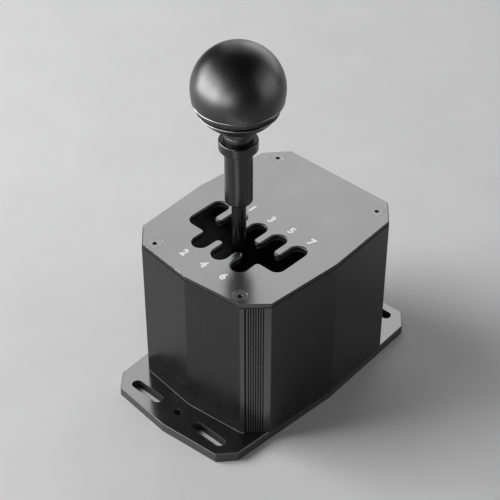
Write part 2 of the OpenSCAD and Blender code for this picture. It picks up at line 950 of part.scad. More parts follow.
module yoke() {
  corner = 2;
  color(steel)
    translate(pivot)
      difference() {
        union() {
          translate([0, 0, -yoke_h / 2])
            linear_extrude(yoke_h)
              polygon([
                [-yoke_w / 2 + corner, yoke_front], [yoke_w / 2 - corner, yoke_front],
                [yoke_w / 2, yoke_front + corner], [yoke_w / 2, yoke_rear - corner],
                [yoke_w / 2 - corner, yoke_rear], [-yoke_w / 2 + corner, yoke_rear],
                [-yoke_w / 2, yoke_rear - corner], [-yoke_w / 2, yoke_front + corner]
              ]);
          both_sides() along_x(yoke_w / 2 - past, cheek_x - face_gap) circle(d = boss_d);
        }
        translate([-window_w / 2, window_front, -yoke_h])
          cube([window_w, window_rear - window_front, 2 * yoke_h]);
        both_sides() along_x(axle_in - past, cheek_x) circle(axle_r + seat_fit);
        along_y(yoke_front - past, yoke_rear + past) circle(shaft_d / 2 + bush_t + seat_fit);
        select_post_places() along_y(window_rear - past, yoke_rear + past) circle(post_core_r);
      }
  color(steel)
    translate(pivot) {
      translate([-tab_half, window_rear, yoke_h / 2])
        cube([2 * tab_half, yoke_wall, yoke_tab_top - yoke_h / 2]);
      translate([-tab_half, hub_l / 2 + 2 * spring_gap, yoke_tab_z])
        cube([2 * tab_half, window_rear + yoke_wall / 2 - hub_l / 2 - 2 * spring_gap, tab_h]);
    }
}

module axle_left() {
  color(bright)
    translate(pivot) along_x(-axle_left_end, -axle_in) circle(axle_r);
}

module axle_right() {
  color(bright)
    translate(pivot)
      difference() {
        along_x(axle_in, axle_right_end) circle(axle_r);
        translate([axle_clip_x, 0, 0]) rotate([0, 90, 0]) clip_cut(axle_r);
      }
}

module detent_cam() {
  fan_side = 9;
  fan_deg = throw_deg + fan_side;
  fan_l = 2 * cam_r;
  color(cast)
    translate(pivot)
      along_x(cam_x, cam_x + cam_t)
        difference() {
          union() {
            circle(d = cam_hub_d);
            intersection() {
              circle(cam_r);
              polygon([
                [0, 0], [fan_l * cos(fan_deg), -fan_l * sin(fan_deg)],
                [fan_l * cos(fan_deg), fan_l * sin(fan_deg)]
              ]);
            }
          }
          circle(axle_r + seat_fit);
          for (i = [-1 : 1]) rotate(i * throw_deg) translate([notch_at, 0]) circle(notch_r);
        }
}

module cam_spacer() {
  color(bright)
    translate(pivot)
      along_x(cheek_out + face_gap, cam_x)
        difference() {
          circle(d = axle_d + 2 * spacer_wall);
          circle(axle_r + seat_fit);
        }
}

module cam_clip() {
  color(blackened)
    translate(pivot)
      translate([axle_clip_x + face_gap / 4, 0, 0])
        rotate([0, 90, 0]) clip_ring(axle_r - clip_groove, axle_d / 2 + clip_w);
}

// A flanged plain bush whose flange lies in front of the face at the origin, along -Y
module flanged_bush() {
  color(brass)
    difference() {
      union() {
        along_y(0, yoke_wall) circle(shaft_d / 2 + bush_t);
        along_y(-bush_flange_t, 0) circle(shaft_d / 2 + 2 * bush_t);
      }
      along_y(-bush_flange_t - past, yoke_wall + past) circle(d = shaft_d);
    }
}

module bush_front() {
  translate(pivot + [0, yoke_front, 0]) flanged_bush();
}

module bush_rear() {
  translate(pivot + [0, yoke_rear, 0]) mirror([0, 1, 0]) flanged_bush();
}

// The centre line of the spring's wire, leg to leg, in the pivot's frame
coil_r = coil_d / 2;
coil_steps = 8;
coil_sides = 6;
coil_last = (coil_turns + coil_half) * coil_steps;
coil_path = concat(
  [for (z = [leg_top, leg_top / 2]) [-coil_r, coil_y, z]],
  [
    for (i = [0 : coil_last])
      let (turn = 180 + 360 * i / coil_steps)
      [coil_r * cos(turn), coil_y + coil_pitch * i / coil_steps, coil_r * sin(turn)]
  ],
  [for (z = [leg_top / 2, leg_top]) [coil_r, coil_y + coil_pitch * coil_last / coil_steps, z]]
);

function unit(v) = v / norm(v);
// Direction of a path at one of its points
function heading(path, i) = unit(path[min(i + 1, len(path) - 1)] - path[max(i - 1, 0)]);
// One ring of a tube around a path that never runs along Y
function tube_ring(path, i, r, sides) =
  let (
    way = heading(path, i),
    across = unit(cross(way, [0, 1, 0])),
    up = cross(across, way)
  )
  [for (k = [0 : sides - 1]) path[i] + r * (cos(360 * k / sides) * across + sin(360 * k / sides) * up)];

// A closed tube of triangles along a path
module tube(path, r, sides) {
  rings = len(path);
  points = [for (i = [0 : rings - 1]) each tube_ring(path, i, r, sides)];
  walls = [
    for (i = [0 : rings - 2], k = [0 : sides - 1])
      let (
        a = i * sides + k,
        b = i * sides + (k + 1) % sides
      )
      each [[a, b, a + sides], [b, b + sides, a + sides]]
  ];
  first = [for (k = [1 : sides - 2]) [0, k + 1, k]];
  last = [for (k = [1 : sides - 2]) (rings - 1) * sides * [1, 1, 1] + [0, k, k + 1]];
  polyhedron(points, concat(walls, first, last));
}

// Least gap between parts of the wire that lie at least half a turn apart
coil_least = min([
  for (i = [0 : len(coil_path) - 1], k = [i + coil_steps / 2 : len(coil_path) - 1])
    norm(coil_path[i] - coil_path[k]) - wire_d
]);
echo(centring_spring_least_gap = coil_least);

module centring_spring() {
  color(sprung)
    translate(pivot) tube(coil_path, wire_d / 2, coil_sides);
}

module shift_magnet() {
  color(bright)
    translate(pivot) along_x(-axle_left_end - magnet_t, -axle_left_end) circle(d = axle_d);
}

// Places of the select sensor's two posts, in the pivot's frame
module select_post_places() {
  for (x = [-1, 1]) translate([x * (sense_w / 2 - spacer_d), 0, 0]) children();
}

module select_sensor_posts() {
  color(brass)
    translate(pivot)
      select_post_places()
        along_y(yoke_rear, select_board_y)
          difference() {
            circle(d = spacer_d);
            circle(post_core_r);
          }
}

module select_sensor_board() {
  color(board_green)
    translate(pivot)
      difference() {
        translate([-sense_w / 2, select_board_y, -sense_h / 2]) cube([sense_w, board_t, sense_h]);
        select_post_places()
          along_y(select_board_y - past, select_board_y + board_t + past)
            circle(d = small_d + hole_gap);
      }
}

module select_sensor_screws() {
  color(steel)
    translate(pivot)
      select_post_places()
        translate([0, select_board_y + board_t, 0])
          rotate([-90, 0, 0]) small_screw(board_t + select_board_y - yoke_rear + yoke_wall / 2);
}

module select_shaft() {
  color(bright)
    translate(pivot)
      difference() {
        along_y(shaft_front, shaft_rear) circle(shaft_r);
        translate([0, shaft_clip_y, 0]) rotate([-90, 0, 0]) clip_cut(shaft_r);
      }
}

module shaft_clip() {
  color(blackened)
    translate(pivot + [0, shaft_clip_y + face_gap / 4, 0])
      rotate([-90, 0, 0]) clip_ring(shaft_r - clip_groove, shaft_d / 2 + clip_w);
}

module select_magnet() {
  color(bright)
    translate(pivot) along_y(shaft_rear, shaft_rear + magnet_t) circle(d = shaft_d);
}

module lever_hub() {
  color(blackened)
    translate(pivot)
      difference() {
        union() {
          translate([-hub_w / 2, -hub_l / 2, -hub_low]) cube([hub_w, hub_l, hub_low + hub_high]);
          cylinder(hub_high + hub_neck_h, d = hub_neck_d);
          translate([-tab_half, 0, hub_tab_z])
            cube([2 * tab_half, window_rear - 2 * spring_gap, tab_h]);
        }
        along_y(-hub_l / 2 - past, hub_l / 2 + past) circle(shaft_r + seat_fit);
        translate([0, 0, rod_bottom - pivot_z - face_gap])
          cylinder(hub_high + hub_neck_h, r = rod_bore_r);
      }
}

module rod_nut() {
  color(blackened)
    translate([0, gate_y, neck_top])
      difference() {
        cylinder(nut_h, d = nut_af / cos(30), $fn = 6);
        translate([0, 0, -past]) cylinder(nut_h + 2 * past, r = rod_bore_r);
      }
}

module lever_rod() {
  tip = 1;
  color(dark)
    translate([0, gate_y, 0]) {
      translate([0, 0, rod_bottom]) cylinder(rod_top - rod_bottom - tip, d = rod_d);
      translate([0, 0, rod_top - tip]) cylinder(tip, rod_d / 2, rod_d / 2 - tip);
    }
}

module lever_sleeve() {
  color(dark)
    translate([0, gate_y, sleeve_z])
      rotate_extrude()
        polygon([
          [rod_bore_r, 0], [sleeve_end_d / 2, 0], [sleeve_d / 2, sleeve_taper],
          [sleeve_d / 2, sleeve_l], [rod_bore_r, sleeve_l]
        ]);
}

module lock_collar() {
  flange_r = collar_d / 2;
  flange_top = collar_taper + collar_h;
  color(dark)
    translate([0, gate_y, collar_z])
      difference() {
        rotate_extrude() {
          polygon([
            [0, 0], [sleeve_d / 2, 0], [flange_r, collar_taper],
            [flange_r, flange_top - collar_round], [flange_r - collar_round, flange_top - collar_round],
            [flange_r - collar_round, flange_top], [0, flange_top]
          ]);
          translate([flange_r - collar_round, flange_top - collar_round])
            intersection() {
              circle(collar_round);
              square(collar_round + past);
            }
        }
        translate([0, 0, -past]) cylinder(flange_top + 2 * past, r = rod_bore_r);
      }
}

// Half of the profile of a ball of radius r about the knob's middle, cut between two heights
module ball_profile(r, low, high) {
  intersection() {
    translate([0, knob_z]) circle(r);
    translate([0, low]) square([knob_d, high - low]);
  }
}

// The half-sunk bead along a trim line, cut between two heights
module bead_profile(z, low, high) {
  intersection() {
    translate([sqrt(knob_r * knob_r - (z - knob_z) * (z - knob_z)) - bead_r / 2, z]) circle(bead_r);
    translate([0, low]) square([knob_d, high - low]);
  }
}

module knob_base() {
  color(dark)
    translate([0, gate_y, 0])
      rotate_extrude()
        difference() {
          union() {
            ball_profile(knob_r, knob_z - knob_r, low_line);
            bead_profile(low_line - bead_off, low_line - knob_r, low_line);
            translate([0, collar_top]) square([neck_d / 2, low_line - collar_top]);
          }
          translate([0, collar_top - past]) square([insert_bore_r, knob_d]);
          translate([neck_d / 2 - neck_groove, collar_top + neck_l / 2 - neck_ring / 2])
            square([neck_groove + past, neck_ring]);
        }
}

module knob_band() {
  color(dark)
    translate([0, gate_y, 0])
      rotate_extrude()
        difference() {
          ball_profile(knob_r - band_back, low_line, high_line);
          translate([0, low_line - past]) square([core_stem_r + seat_fit, knob_d]);
        }
}

module knob_core() {
  color(cast)
    translate([0, gate_y, 0])
      rotate_extrude()
        difference() {
          union() {
            translate([0, low_line]) square([core_stem_r, high_line - low_line + past]);
            ball_profile(core_r - seat_fit, high_line, knob_z + knob_r);
          }
          translate([0, low_line - past]) square([insert_bore_r, insert_top - low_line + past + face_gap]);
        }
}

module knob_shell() {
  color(dark)
    translate([0, gate_y, 0])
      rotate_extrude()
        difference() {
          union() {
            ball_profile(knob_r, high_line, knob_z + knob_r);
            bead_profile(high_line + bead_off, high_line, knob_z);
          }
          translate([0, knob_z]) circle(core_r);
        }
}

module knob_insert() {
  color(brass)
    translate([0, gate_y, collar_top])
      difference() {
        cylinder(insert_top - collar_top, d = insert_d);
        translate([0, 0, -past]) cylinder(rod_top - collar_top + past + face_gap, r = rod_bore_r);
      }
}

base_plate();
rear_shell();
front_panel();
gate_plate();
gate_damper();
gate_screws();
base_screws();
pivot_bracket();
bracket_screws();
bearing_left();
bearing_right();
detent_spring();
detent_clamp();
detent_screws();
shift_sensor_board();
shift_sensor_posts();
shift_sensor_screws();
main_board();
board_posts();
board_screws();
main_chip();
lead_sockets();
usb_socket();
yoke();
axle_left();
axle_right();
detent_cam();
cam_spacer();
cam_clip();
bush_front();
bush_rear();
centring_spring();
shift_magnet();
select_sensor_board();
select_sensor_posts();
select_sensor_screws();
select_shaft();
shaft_clip();
select_magnet();
lever_hub();
rod_nut();
lever_rod();
lever_sleeve();
lock_collar();
knob_base();
knob_band();
knob_shell();
knob_core();
knob_insert();
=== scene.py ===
# %% [markdown]
# # A gear shifter for a racing simulator
# The real object is a black extruded housing between two grey metal plates, with a ball-topped lever
# standing in a gate of lanes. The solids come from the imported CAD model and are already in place, so this
# lesson only dresses them: it rounds their edges, replaces the turned lever parts by smoother surfaces,
# prints the gear numbers and gives every solid its finish. Most sizes are read from the solids' boxes.

# %% Load the solids
import json
import math

import bmesh
import bpy
import numpy as np
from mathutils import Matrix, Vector


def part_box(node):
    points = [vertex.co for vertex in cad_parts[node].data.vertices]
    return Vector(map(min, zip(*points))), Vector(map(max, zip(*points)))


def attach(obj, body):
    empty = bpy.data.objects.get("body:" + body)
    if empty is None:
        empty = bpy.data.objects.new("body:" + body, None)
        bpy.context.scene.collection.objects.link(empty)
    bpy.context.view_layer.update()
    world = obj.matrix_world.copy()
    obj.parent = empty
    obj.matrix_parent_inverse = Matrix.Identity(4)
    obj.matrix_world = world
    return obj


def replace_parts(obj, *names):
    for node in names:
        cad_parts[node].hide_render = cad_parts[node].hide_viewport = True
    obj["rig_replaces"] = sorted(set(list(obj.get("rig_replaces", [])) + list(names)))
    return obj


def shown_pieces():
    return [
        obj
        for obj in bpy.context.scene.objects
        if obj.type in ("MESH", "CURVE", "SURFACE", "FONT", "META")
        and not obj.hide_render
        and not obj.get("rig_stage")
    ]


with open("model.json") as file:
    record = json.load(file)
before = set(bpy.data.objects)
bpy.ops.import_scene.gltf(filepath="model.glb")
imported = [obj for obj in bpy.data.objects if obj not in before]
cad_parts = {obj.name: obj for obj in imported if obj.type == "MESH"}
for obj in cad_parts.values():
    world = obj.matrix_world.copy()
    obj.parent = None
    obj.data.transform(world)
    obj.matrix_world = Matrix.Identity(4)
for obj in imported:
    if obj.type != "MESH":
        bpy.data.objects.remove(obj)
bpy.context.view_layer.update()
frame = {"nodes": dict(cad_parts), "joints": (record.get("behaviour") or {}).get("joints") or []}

solids = frame["nodes"]
scene = bpy.context.scene
MM = 0.001

# %% [markdown]
# ## Camera
# The photograph looks down on the shifter from the front right with a long lens. A camera can be moved by
# hand until the corners agree; here its place, turn and focal length were worked out from the corners of the
# two plates, so straight edges fall where they do in the photograph.

# %% Camera
CAMERA_PLACE = (0.435346, -0.474365, 0.602558)
CAMERA_DOWN, CAMERA_ROUND = 38.921, 43.351
FOCAL_MM, SENSOR_MM = 104.17, 36.0

lens = bpy.data.cameras.new("photo_lens")
lens.lens, lens.sensor_width = FOCAL_MM, SENSOR_MM
camera = bpy.data.objects.new("photo_camera", lens)
camera.location = CAMERA_PLACE
camera.rotation_euler = (math.radians(90 - CAMERA_DOWN), 0, math.radians(CAMERA_ROUND))
scene.collection.objects.link(camera)
scene.camera = camera
scene.view_settings.view_transform = "Standard"
print("camera looks down by", CAMERA_DOWN, "degrees")

# %% [markdown]
# ## Grid surfaces
# Nearly every new piece here is a grid of points that a formula places: one parameter runs along a profile,
# the other around the piece. Modelling by hand would work as well, but a formula can be read, changed and
# trusted. numpy works out all points at once, and the mesh gets quads between neighbours of the grid.

# %% Quads of a grid
def grid_quads(rows, columns, close_rows=False, close_columns=False):
    """Corner numbers of the quads between neighbouring grid points that are numbered row by row."""
    i = np.arange(rows if close_rows else rows - 1)[:, None]
    j = np.arange(columns if close_columns else columns - 1)[None, :]
    next_i, next_j = (i + 1) % rows, (j + 1) % columns
    corners = (i * columns + j, i * columns + next_j, next_i * columns + next_j, next_i * columns + j)
    return np.stack(np.broadcast_arrays(*corners), axis=-1).reshape(-1, 4)


print("a grid of 3 by 4 points has", len(grid_quads(3, 4)), "quads")

# %% From points to objects
SAME_POINT = 1e-7


def merge_points(mesh, drop_empty=True):
    """Merges points that share one place, such as poles, and may drop faces that then have no area."""
    work = bmesh.new()
    work.from_mesh(mesh)
    bmesh.ops.remove_doubles(work, verts=work.verts, dist=SAME_POINT)
    if drop_empty:
        bmesh.ops.dissolve_degenerate(work, dist=SAME_POINT, edges=work.edges)
    work.to_mesh(mesh)
    work.free()


def put_object(name, mesh):
    """Puts a mesh into the scene as an object at the origin."""
    piece = bpy.data.objects.new(name, mesh)
    scene.collection.objects.link(piece)
    return piece


def put_mesh(name, points, faces):
    """Makes a smooth object from a grid of points and its faces."""
    mesh = bpy.data.meshes.new(name)
    mesh.from_pydata(points.reshape(-1, 3).tolist(), [], faces.tolist())
    merge_points(mesh)
    mesh.shade_smooth()
    return put_object(name, mesh)


print("points closer than", SAME_POINT, "m are merged")

# %% [markdown]
# ## Floor and room
# A studio photograph has a pale sheet under the object, and the room behind the lamps is dim. The floor is a
# wide pale grid with a faint mottle. The room is a plain grey world, kept low so that the black parts stay
# black and only the lamps shape them.

# %% Floor and world
FLOOR_HALF, FLOOR_DROP, FLOOR_STEPS = 8.0, 0.0002, 9
ROOM_LIGHT = 0.03

across = np.linspace(-FLOOR_HALF, FLOOR_HALF, FLOOR_STEPS)
floor_x, floor_y = np.meshgrid(across, across)
floor_points = np.stack([floor_x, floor_y, np.full_like(floor_x, -FLOOR_DROP)], axis=-1)
floor = put_mesh("floor", floor_points, grid_quads(FLOOR_STEPS, FLOOR_STEPS))
floor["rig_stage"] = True

room = bpy.data.worlds.new("dim_room")
scene.world = room
room.use_nodes = True
lit = room.node_tree.nodes["Background"]
lit.inputs["Color"].default_value = (1.0, 1.0, 1.0, 1.0)
lit.inputs["Strength"].default_value = ROOM_LIGHT
print("floor", 2 * FLOOR_HALF, "m wide, room strength", ROOM_LIGHT)

# %% [markdown]
# ## Lamps
# The ball shows where the photographer's lamps stood: a bright soft patch on its left, a broad dim glow on
# its right and a pale rim at the top. Each is a rectangle that looks at the lever. Its power follows from
# how bright it should look: a flat lamp of area A and brightness L gives pi times A times L watts. The
# bounce card lies on the floor in front and looks up, which is what the black corner mirrors.

# %% Softboxes
LAMP_AIM = Vector((0.0, -0.01, 0.13))
UP = (0, 0, 1)


def softbox(name, towards, distance, size, brightness, facing=None, aim=LAMP_AIM):
    """Puts a rectangular lamp at a distance from the aim in the direction towards. It looks back at the aim,
    or the way that facing gives. Its power is pi times width times height times brightness."""
    lamp = bpy.data.lights.new(name, "AREA")
    lamp.shape = "RECTANGLE"
    lamp.size, lamp.size_y = size
    lamp.energy = math.pi * size[0] * size[1] * brightness
    direction = Vector(towards).normalized()
    stand = bpy.data.objects.new(name, lamp)
    stand.location = aim + distance * direction
    stand.rotation_euler = Vector(facing or -direction).to_track_quat("-Z", "Y").to_euler()
    stand.visible_camera = False
    scene.collection.objects.link(stand)
    print(name, round(lamp.energy, 2), "W")
    return stand


key_left = softbox("key_left", (-0.72, -0.68, 0.12), 1.20, (1.40, 0.58), 14.0)
key_front = softbox("key_front", (0.08, -0.98, 0.10), 1.20, (0.90, 0.50), 7.0)
softbox("fill_right", (0.82, 0.54, 0.18), 1.10, (1.00, 0.80), 1.4)
softbox("back_wall", (-0.30, 0.93, 0.22), 1.50, (2.40, 0.80), 1.0)
softbox("back_top", (-0.52, 0.60, 0.62), 1.30, (1.10, 0.80), 0.75)
softbox("bounce_card", (0.098, -0.22, -0.126), 0.272, (0.084, 0.34), 1.2, facing=UP)

# %% [markdown]
# ## The turned lever parts
# Ball, neck, collar, sleeve and rod are turned on a lathe, so each is a profile of radius and height that
# goes round the lever's axis. A Screw modifier could do it, but with numpy the profile's corners can be
# rounded first, and the mesh is finished at once.

# %% Rounded profiles
rod_low, rod_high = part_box("lever_rod")
AXIS_X, AXIS_Y = (rod_low.x + rod_high.x) / 2, (rod_low.y + rod_high.y) / 2
ROD_R = (rod_high.x - rod_low.x) / 2


def rounded(profile, radii, steps=6):
    """Replaces each corner of a closed profile by a curve that starts and ends at the given distance from
    the corner: the point at t is (1-t)^2 start + 2t(1-t) corner + t^2 end."""
    corner = np.array(profile, float)
    reach = np.array(radii, float)[:, None]
    back, ahead = np.roll(corner, 1, axis=0) - corner, np.roll(corner, -1, axis=0) - corner
    back /= np.linalg.norm(back, axis=1, keepdims=True)
    ahead /= np.linalg.norm(ahead, axis=1, keepdims=True)
    t = np.linspace(0, 1, steps)[None, :, None]
    start, end = (corner + reach * back)[:, None], (corner + reach * ahead)[:, None]
    return ((1 - t) ** 2 * start + 2 * t * (1 - t) * corner[:, None] + t**2 * end).reshape(-1, 2)


print("the lever's rod is", round(2 * ROD_R / MM, 2), "mm thick")

# %% The lathe
LATHE_STEPS, FLAT_WEIGHT = 160, 60


def keep_flats(piece):
    """Weights the shading by face area, so that flat faces stay flat beside their rounded edges."""
    weigh = piece.modifiers.new("keep_flats", "WEIGHTED_NORMAL")
    weigh.weight, weigh.keep_sharp = FLAT_WEIGHT, True


def lathe(name, profile, node=None):
    """Carries a closed profile of (radius, height) round the lever: x = radius cos a, y = radius sin a.
    The piece stands for a solid where one is named."""
    radius, height = np.asarray(profile).T
    a = np.linspace(0, 2 * np.pi, LATHE_STEPS, endpoint=False)
    points = np.stack([
        AXIS_X + np.outer(radius, np.cos(a)),
        AXIS_Y + np.outer(radius, np.sin(a)),
        np.repeat(height[:, None], LATHE_STEPS, axis=1),
    ], axis=-1)
    piece = put_mesh(name, points, grid_quads(len(radius), LATHE_STEPS, True, True))
    keep_flats(piece)
    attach(piece, "lever")
    if node:
        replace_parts(piece, node)
    print(name, len(piece.data.polygons), "faces stand for", node or "a trim line")
    return piece


print("the lathe goes round in", LATHE_STEPS, "steps")

# %% [markdown]
# ## The ball
# The knob is a ball of two shells with a narrow band between them that lies a little deeper. A UV sphere
# could be cut apart for it. Here each part is a profile of its own, so its outside follows the ball exactly
# and its inside fits the solid that it stands for.

# %% Ball outline
shell_low, shell_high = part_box("knob_shell")
BALL_R = (shell_high.x - shell_low.x) / 2
BALL_Z = shell_high.z - BALL_R
CAVITY_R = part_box("knob_core")[1].z - BALL_Z


def ball_radius(z, r=BALL_R):
    """Radius of the ball's outline at height z, by Pythagoras."""
    return np.sqrt(np.maximum(r**2 - (z - BALL_Z) ** 2, 0))


def latitude(z, r=BALL_R):
    """Angle above the ball's equator at which the ball of radius r reaches height z."""
    return np.arcsin((z - BALL_Z) / r)


def arc(angles, r=BALL_R):
    """Points on the ball's outline: radius r cos a, height r sin a above the ball's middle."""
    return r * np.cos(angles), BALL_Z + r * np.sin(angles)


def stack(*columns):
    """Joins (radius, height) runs into one profile."""
    return np.concatenate([np.stack(np.broadcast_arrays(*c), axis=-1).reshape(-1, 2) for c in columns])


print("ball", round(2 * BALL_R / MM, 2), "mm across, its middle", round(BALL_Z / MM, 2), "mm high")

# %% Upper shell and band
SHELL_STEPS, CAVITY_STEPS, BAND_STEPS = 81, 25, 13
BAND_BACK, STEM_R = 0.6 * MM, 12.52 * MM
band_low, band_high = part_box("knob_band")

rise = np.linspace(latitude(shell_low.z), np.pi / 2, SHELL_STEPS)
fall = np.linspace(np.pi / 2, latitude(shell_low.z, CAVITY_R), CAVITY_STEPS)
ball_parts = [lathe("ball_shell", stack(arc(rise), arc(fall, CAVITY_R)), "knob_shell")]

band_heights = np.linspace(band_low.z, band_high.z, BAND_STEPS)
ball_parts.append(lathe("ball_band", stack(
    (ball_radius(band_heights, BALL_R - BAND_BACK), band_heights),
    (STEM_R, np.array([band_high.z, band_low.z])),
), "knob_band"))

# %% Lower shell with its neck
UNDER_STEPS, FIT = 41, 0.02 * MM
NECK_R, NECK_BREAK, NECK_GROOVE = 8.1 * MM, 0.2 * MM, 0.2 * MM
GROOVE_RISE = np.array([-0.5, -0.35, 0.35, 0.5]) * MM
base_low, base_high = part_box("knob_base")
insert_low, insert_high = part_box("knob_insert")
INSERT_R = (insert_high.x - insert_low.x) / 2

neck_top = BALL_Z - math.sqrt(BALL_R**2 - NECK_R**2)
under = np.linspace(latitude(neck_top), latitude(base_high.z), UNDER_STEPS)
ball_parts.append(lathe("ball_base", stack(
    (np.array([NECK_R - NECK_BREAK, NECK_R]), base_low.z + np.array([0, NECK_BREAK])),
    (NECK_R - NECK_GROOVE * np.array([0, 1, 1, 0]), (base_low.z + neck_top) / 2 + GROOVE_RISE),
    arc(under),
    (INSERT_R + FIT, np.array([base_high.z, base_low.z])),
), "knob_base"))

# %% [markdown]
# ## Trim rings
# Each shell ends in a thin bright ring that catches the light as a fine line. The solid has this bead in one
# with its shell; here it is a ring of its own, half sunk into the ball, so that it can have its own finish.

# %% Trim rings
BEAD_R, BEAD_OFF, BEAD_STEPS = 0.5 * MM, 0.4 * MM, 24


def trim_ring(name, z):
    """A ring: a circle whose middle lies half its radius inside the ball at height z, carried round."""
    t = np.linspace(0, 2 * np.pi, BEAD_STEPS, endpoint=False)
    return lathe(name, stack((ball_radius(z) - BEAD_R / 2 + BEAD_R * np.cos(t), z + BEAD_R * np.sin(t))))


rings = [trim_ring("trim_ring_high", shell_low.z + BEAD_OFF),
         trim_ring("trim_ring_low", base_high.z - BEAD_OFF)]

# %% [markdown]
# ## Lamps for the ball and the floor
# A photographer screens a lamp off a part of the set with flags and cards. Light linking does the same: a
# lamp gets a collection that lists what it may reach, or what it may not. The ball mirrors its six lamps as
# soft patches. The floor has a lamp of its own, because the strong keys would bleach it.

# %% Linked lamps
BALL_MIDDLE, BALL_LAMP_AWAY = Vector((AXIS_X, AXIS_Y, BALL_Z)), 0.60
BALL_LAMPS = (("ball_key", (-0.57, -0.82, 0.07), (0.70, 0.29), 14.0),
              ("ball_glow", (-0.40, -0.80, 0.454), (0.62, 0.22), 7.0),
              ("ball_front", (0.34, -0.94, 0.09), (0.44, 0.40), 1.5),
              ("ball_right", (0.73, 0.57, 0.375), (0.58, 0.52), 0.9),
              ("ball_left", (-0.89, -0.36, 0.28), (0.24, 0.26), 6.0),
              ("ball_back", (-0.20, 0.93, 0.280), (0.56, 0.40), 1.1))


def link_lamp(lamp, pieces, state="INCLUDE"):
    """Lets a lamp reach only these pieces, or all but these."""
    reached = bpy.data.collections.new(lamp.name + "_link")
    for piece in pieces:
        reached.objects.link(piece)
    for row in reached.collection_objects:
        row.light_linking.link_state = state
    lamp.light_linking.receiver_collection = reached


link_lamp(key_left, ball_parts + [floor], "EXCLUDE")
link_lamp(key_front, [floor], "EXCLUDE")
link_lamp(softbox("floor_lamp", (-0.64, -0.50, 0.58), 1.3, (1.0, 1.0), 5.9), [floor])
for name, towards, size, brightness in BALL_LAMPS:
    link_lamp(softbox(name, towards, BALL_LAMP_AWAY, size, brightness, aim=BALL_MIDDLE), ball_parts)

# %% [markdown]
# ## Collar, sleeve and rod
# Below the ball a flanged collar locks a sleeve that hides most of the rod. They are bare profiles with
# rounded corners: the flange's upper rim has the widest rounding, because the photograph shows a bright line
# there, and the sleeve's lower end is broken by a small round.

# %% Collar, sleeve and rod
collar_low, collar_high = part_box("lock_collar")
sleeve_low, sleeve_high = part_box("lever_sleeve")
BORE_R = ROD_R + FIT
SLEEVE_R = (sleeve_high.x - sleeve_low.x) / 2
FLANGE_R = (collar_high.x - collar_low.x) / 2
FLANGE_Z = collar_low.z + 2.0 * MM
SLEEVE_END, ROD_END = 1.2 * MM, 1.0 * MM

lathe("collar_turning", rounded(
    [(BORE_R, collar_low.z), (SLEEVE_R, collar_low.z), (FLANGE_R, FLANGE_Z), (FLANGE_R, collar_high.z),
     (BORE_R, collar_high.z)],
    np.array([0.05, 0.15, 0.4, 1.1, 0.05]) * MM,
), "lock_collar")

lathe("sleeve_turning", rounded(
    [(BORE_R, sleeve_low.z), (SLEEVE_R - SLEEVE_END, sleeve_low.z), (SLEEVE_R, sleeve_low.z + SLEEVE_END),
     (SLEEVE_R, sleeve_high.z), (BORE_R, sleeve_high.z)],
    np.array([0.05, 0.6, 0.6, 0.25, 0.05]) * MM,
), "lever_sleeve")

lathe("rod_turning", rounded(
    [(0, rod_low.z), (ROD_R, rod_low.z), (ROD_R, rod_high.z - ROD_END), (ROD_R - ROD_END, rod_high.z),
     (0, rod_high.z)],
    np.array([0, 0.3, 0.2, 0.1, 0]) * MM,
), "lever_rod")

# %% [markdown]
# ## The centring spring
# A torsion spring around the select shaft brings the lever back to the middle. The solid is a coarse tube,
# so a round wire takes its place: a circle carried along a path of leg, coil and leg. At each point of the
# path the circle lies square to the way the path runs.

# %% A wire along a path
WIRE_R = 0.5 * MM


def sweep(path, radius, sides=14):
    """Carries a circle along a path: each ring lies square to the way from the point before to the next."""
    way = np.gradient(path, axis=0)
    way /= np.linalg.norm(way, axis=1, keepdims=True)
    aside = np.cross(way, (0, 1, 0))
    aside /= np.linalg.norm(aside, axis=1, keepdims=True)
    above = np.cross(aside, way)
    a = np.linspace(0, 2 * np.pi, sides, endpoint=False)[None, :, None]
    circles = path[:, None] + radius * (np.cos(a) * aside[:, None] + np.sin(a) * above[:, None])
    ends = np.repeat(path[[0, -1], None], sides, axis=1)
    return np.concatenate([ends[:1], circles, ends[1:]])


def leg(x, y, heights):
    """A straight run of path points at the given heights."""
    return np.stack(np.broadcast_arrays(x, y, heights), axis=-1)


print("wire", round(2 * WIRE_R / MM, 2), "mm thick")

# %% Spring wire
COIL_TURNS, COIL_STEPS, LEG_STEPS = 3.5, 170, 23
spring_low, spring_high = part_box("centring_spring")
pivot_z = float(frame["joints"][1]["pos_m"][2])
coil_r = spring_high.x - WIRE_R

turn = np.pi + 2 * np.pi * COIL_TURNS * np.linspace(0, 1, COIL_STEPS)
coil_y = np.linspace(spring_low.y + WIRE_R, spring_high.y - WIRE_R, COIL_STEPS)
coil = np.stack([coil_r * np.cos(turn), coil_y, pivot_z + coil_r * np.sin(turn)], axis=-1)
climb = np.linspace(spring_high.z, pivot_z, LEG_STEPS + 1)[:-1]
path = np.concatenate([leg(-coil_r, coil_y[0], climb), coil, leg(coil_r, coil_y[-1], climb[::-1])])
wire = sweep(path, WIRE_R)
spring = put_mesh("spring_wire", wire, grid_quads(wire.shape[0], wire.shape[1], False, True))
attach(spring, "yoke")
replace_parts(spring, "centring_spring")
print("spring wire of", len(spring.data.polygons), "faces")

# %% [markdown]
# ## Gear numbers
# Thin white figures stand at the lanes' ends. They are printed, so each is a film of a few hundredths of a
# millimetre. Blender's text gives the outline; it becomes a mesh first and is put in its place after that.

# %% One printed figure
FIGURE_H, FONT_SHARE, FILM, STROKE, CURVE_STEPS = 5.2 * MM, 0.73, 0.03 * MM, 0.28 * MM, 6
plate_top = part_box("gate_plate")[1].z


def read_rows(items, field, width, kind=float):
    """One field of all points, edges or faces of a mesh, as an array with a row for each."""
    values = np.empty(len(items) * width, kind)
    items.foreach_get(field, values)
    return values.reshape(-1, width)


